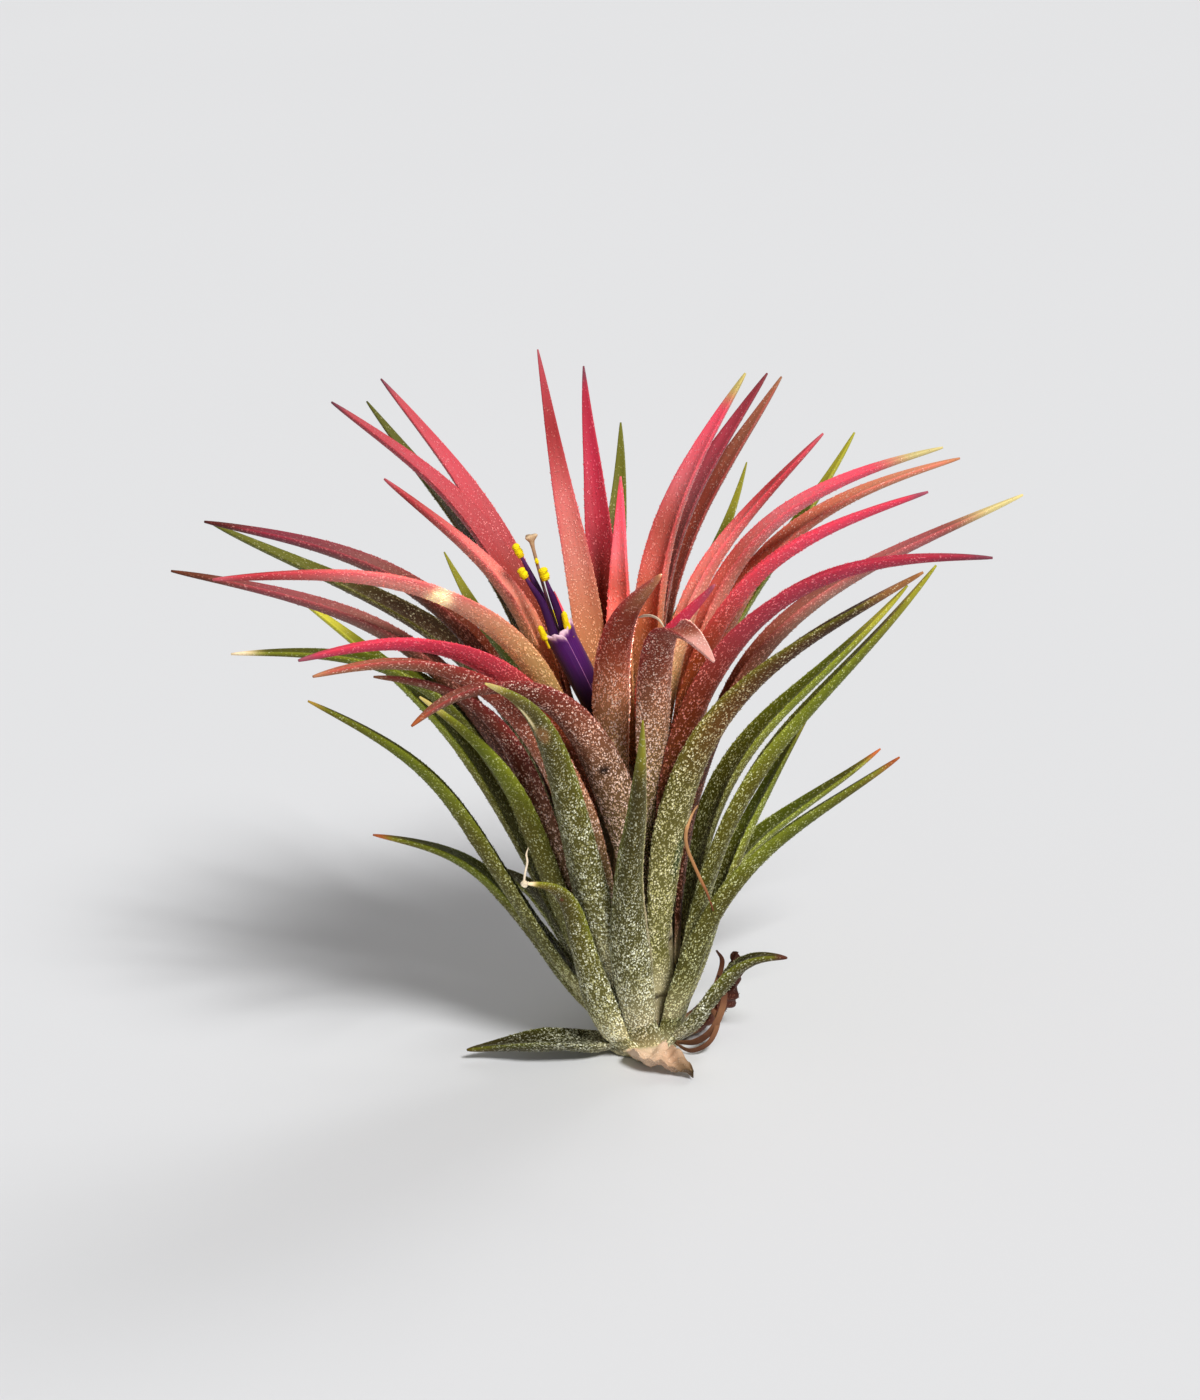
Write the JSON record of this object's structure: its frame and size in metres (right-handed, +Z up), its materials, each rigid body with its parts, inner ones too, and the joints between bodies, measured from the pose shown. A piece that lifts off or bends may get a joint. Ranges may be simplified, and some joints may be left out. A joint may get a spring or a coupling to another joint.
{
  "type": "flowering air plant",
  "caption": "Small flowering tillandsia: channelled silver-green leaves that blush pink to crimson, arching from a short bulb, with a violet tubular flower in the heart.",
  "frame": {"origin": "middle of the bulb's flat underside, which the plant rests on", "axes": "+Z up along the bulb, +X towards the right-hand leaves and -Y towards the viewer of the flower's open side"},
  "size_m": [0.0953, 0.0682, 0.079],
  "materials": {
    "bulb": "dry matt sheaths",
    "leaf_pink": "matt leaf with fine silvery scales",
    "leaf_salmon": "matt leaf with fine silvery scales",
    "leaf_crimson": "matt leaf with fine silvery scales",
    "leaf_mauve": "matt leaf with fine silvery scales",
    "leaf_maroon": "matt leaf with fine silvery scales",
    "leaf_olive": "matt leaf with fine silvery scales",
    "leaf_green": "matt leaf with fine silvery scales",
    "leaf_silver": "matt leaf with fine silvery scales",
    "dry_straw": "papery, dry",
    "dry_husk": "papery, dry",
    "corolla": "satin petal",
    "filament": "satin",
    "pistil": "matt"
  },
  "bodies": {
    "root": {"bulb": "bulb", "heart_leaf_01": "leaf_pink", "heart_leaf_02": "leaf_salmon", "heart_leaf_03": "leaf_crimson", "heart_leaf_04": "leaf_crimson", "heart_leaf_05": "leaf_salmon", "heart_leaf_06": "leaf_pink", "heart_leaf_07": "leaf_mauve", "heart_leaf_08": "leaf_crimson", "heart_leaf_09": "leaf_salmon", "heart_leaf_10": "leaf_pink", "heart_leaf_11": "leaf_salmon", "heart_leaf_12": "leaf_crimson", "crown_leaf_01": "leaf_olive", "crown_leaf_02": "leaf_crimson", "crown_leaf_03": "leaf_pink", "crown_leaf_04": "leaf_mauve", "crown_leaf_05": "leaf_mauve", "crown_leaf_06": "leaf_crimson", "crown_leaf_07": "leaf_maroon", "crown_leaf_08": "leaf_olive", "crown_leaf_09": "leaf_crimson", "crown_leaf_10": "leaf_mauve", "crown_leaf_11": "leaf_mauve", "crown_leaf_12": "leaf_mauve", "crown_leaf_13": "leaf_maroon", "crown_leaf_14": "leaf_olive", "crown_leaf_15": "leaf_maroon", "crown_leaf_16": "leaf_mauve", "skirt_leaf_01": "leaf_olive", "skirt_leaf_02": "leaf_green", "skirt_leaf_03": "leaf_green", "skirt_leaf_04": "leaf_green", "skirt_leaf_05": "leaf_green", "skirt_leaf_06": "leaf_green", "skirt_leaf_07": "leaf_green", "skirt_leaf_08": "leaf_silver", "skirt_leaf_09": "leaf_green", "skirt_leaf_10": "leaf_green", "skirt_leaf_11": "leaf_silver", "skirt_leaf_12": "leaf_green", "skirt_leaf_13": "leaf_green", "skirt_leaf_14": "leaf_green", "foot_leaf_01": "leaf_green", "foot_leaf_02": "leaf_green", "foot_leaf_03": "leaf_green", "foot_leaf_04": "leaf_green", "foot_leaf_05": "leaf_silver", "foot_leaf_06": "leaf_silver", "foot_leaf_07": "leaf_silver", "foot_leaf_08": "leaf_silver", "foot_leaf_09": "leaf_silver", "bract": "leaf_pink", "papery_leaf": "dry_straw", "curled_leaf": "dry_husk", "corolla": "corolla", "stamen_1": "filament", "stamen_2": "filament", "stamen_3": "filament", "pistil": "pistil"}
  },
  "joints": []
}
